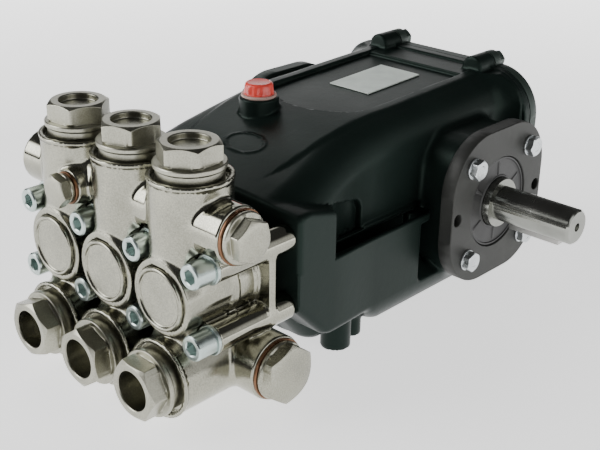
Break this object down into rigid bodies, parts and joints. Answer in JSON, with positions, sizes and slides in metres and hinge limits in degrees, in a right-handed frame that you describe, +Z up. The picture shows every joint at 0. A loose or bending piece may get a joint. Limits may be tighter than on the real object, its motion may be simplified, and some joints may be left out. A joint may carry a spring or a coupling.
{
  "type": "plunger pump",
  "caption": "High-pressure plunger pump: nickel-plated head with screwed valve caps on a black crankcase with oil filler, side bearing covers and a keyed drive shaft.",
  "frame": {"origin": "on the crankshaft's axis, in the plane of the middle plunger", "axes": "+X along the crankshaft to its driven end, +Y from the pump head back to the rear cover, +Z up"},
  "size_m": [0.2864, 0.3702, 0.176],
  "materials": {
    "green_black_paint": "semi-gloss",
    "dark_cover_paint": "matt",
    "bright_zinc": "satin",
    "seal_rubber": "matt",
    "ground_steel": "polished",
    "pink_fibre": "matt",
    "red_plastic": "gloss",
    "bare_aluminium": "satin",
    "blue_zinc": "satin",
    "copper": "satin",
    "dark_steel": "satin",
    "satin_nickel": "satin"
  },
  "bodies": {
    "pump": {"crankcase": "green_black_paint", "rear_cover": "green_black_paint", "rear_cover_bolts": "bright_zinc", "bearing_cover_right": "dark_cover_paint", "bearing_cover_left": "green_black_paint", "bearing_bolts_right": "bright_zinc", "bearing_bolts_left": "bright_zinc", "shaft_seal": "seal_rubber", "filler_ring": "pink_fibre", "oil_filler_cap": "red_plastic", "label_plate": "bare_aluminium", "pump_head": "satin_nickel", "head_screw_1": "blue_zinc", "head_screw_2": "blue_zinc", "head_screw_3": "blue_zinc", "head_screw_4": "blue_zinc", "head_screw_5": "blue_zinc", "head_screw_6": "blue_zinc", "head_screw_7": "blue_zinc", "head_screw_8": "blue_zinc", "discharge_cap_1": "satin_nickel", "discharge_cap_2": "satin_nickel", "discharge_cap_3": "satin_nickel", "suction_cap_1": "satin_nickel", "suction_cap_2": "satin_nickel", "suction_cap_3": "satin_nickel", "plunger_plug_1": "satin_nickel", "plunger_plug_2": "satin_nickel", "plunger_plug_3": "satin_nickel", "plunger_guide_1": "dark_steel", "plunger_guide_2": "dark_steel", "plunger_guide_3": "dark_steel", "suction_washer": "copper", "suction_plug": "satin_nickel", "discharge_washer": "copper", "discharge_plug": "satin_nickel", "gauge_washer": "copper", "gauge_plug": "satin_nickel"},
    "shaft": {"crankshaft": "ground_steel", "shaft_key": "ground_steel"}
  },
  "joints": [
    {"name": "shaft_spin", "type": "hinge", "parent": "pump", "child": "shaft", "pos_m": [0, 0, 0], "axis": [1, 0, 0], "continuous": true}
  ]
}
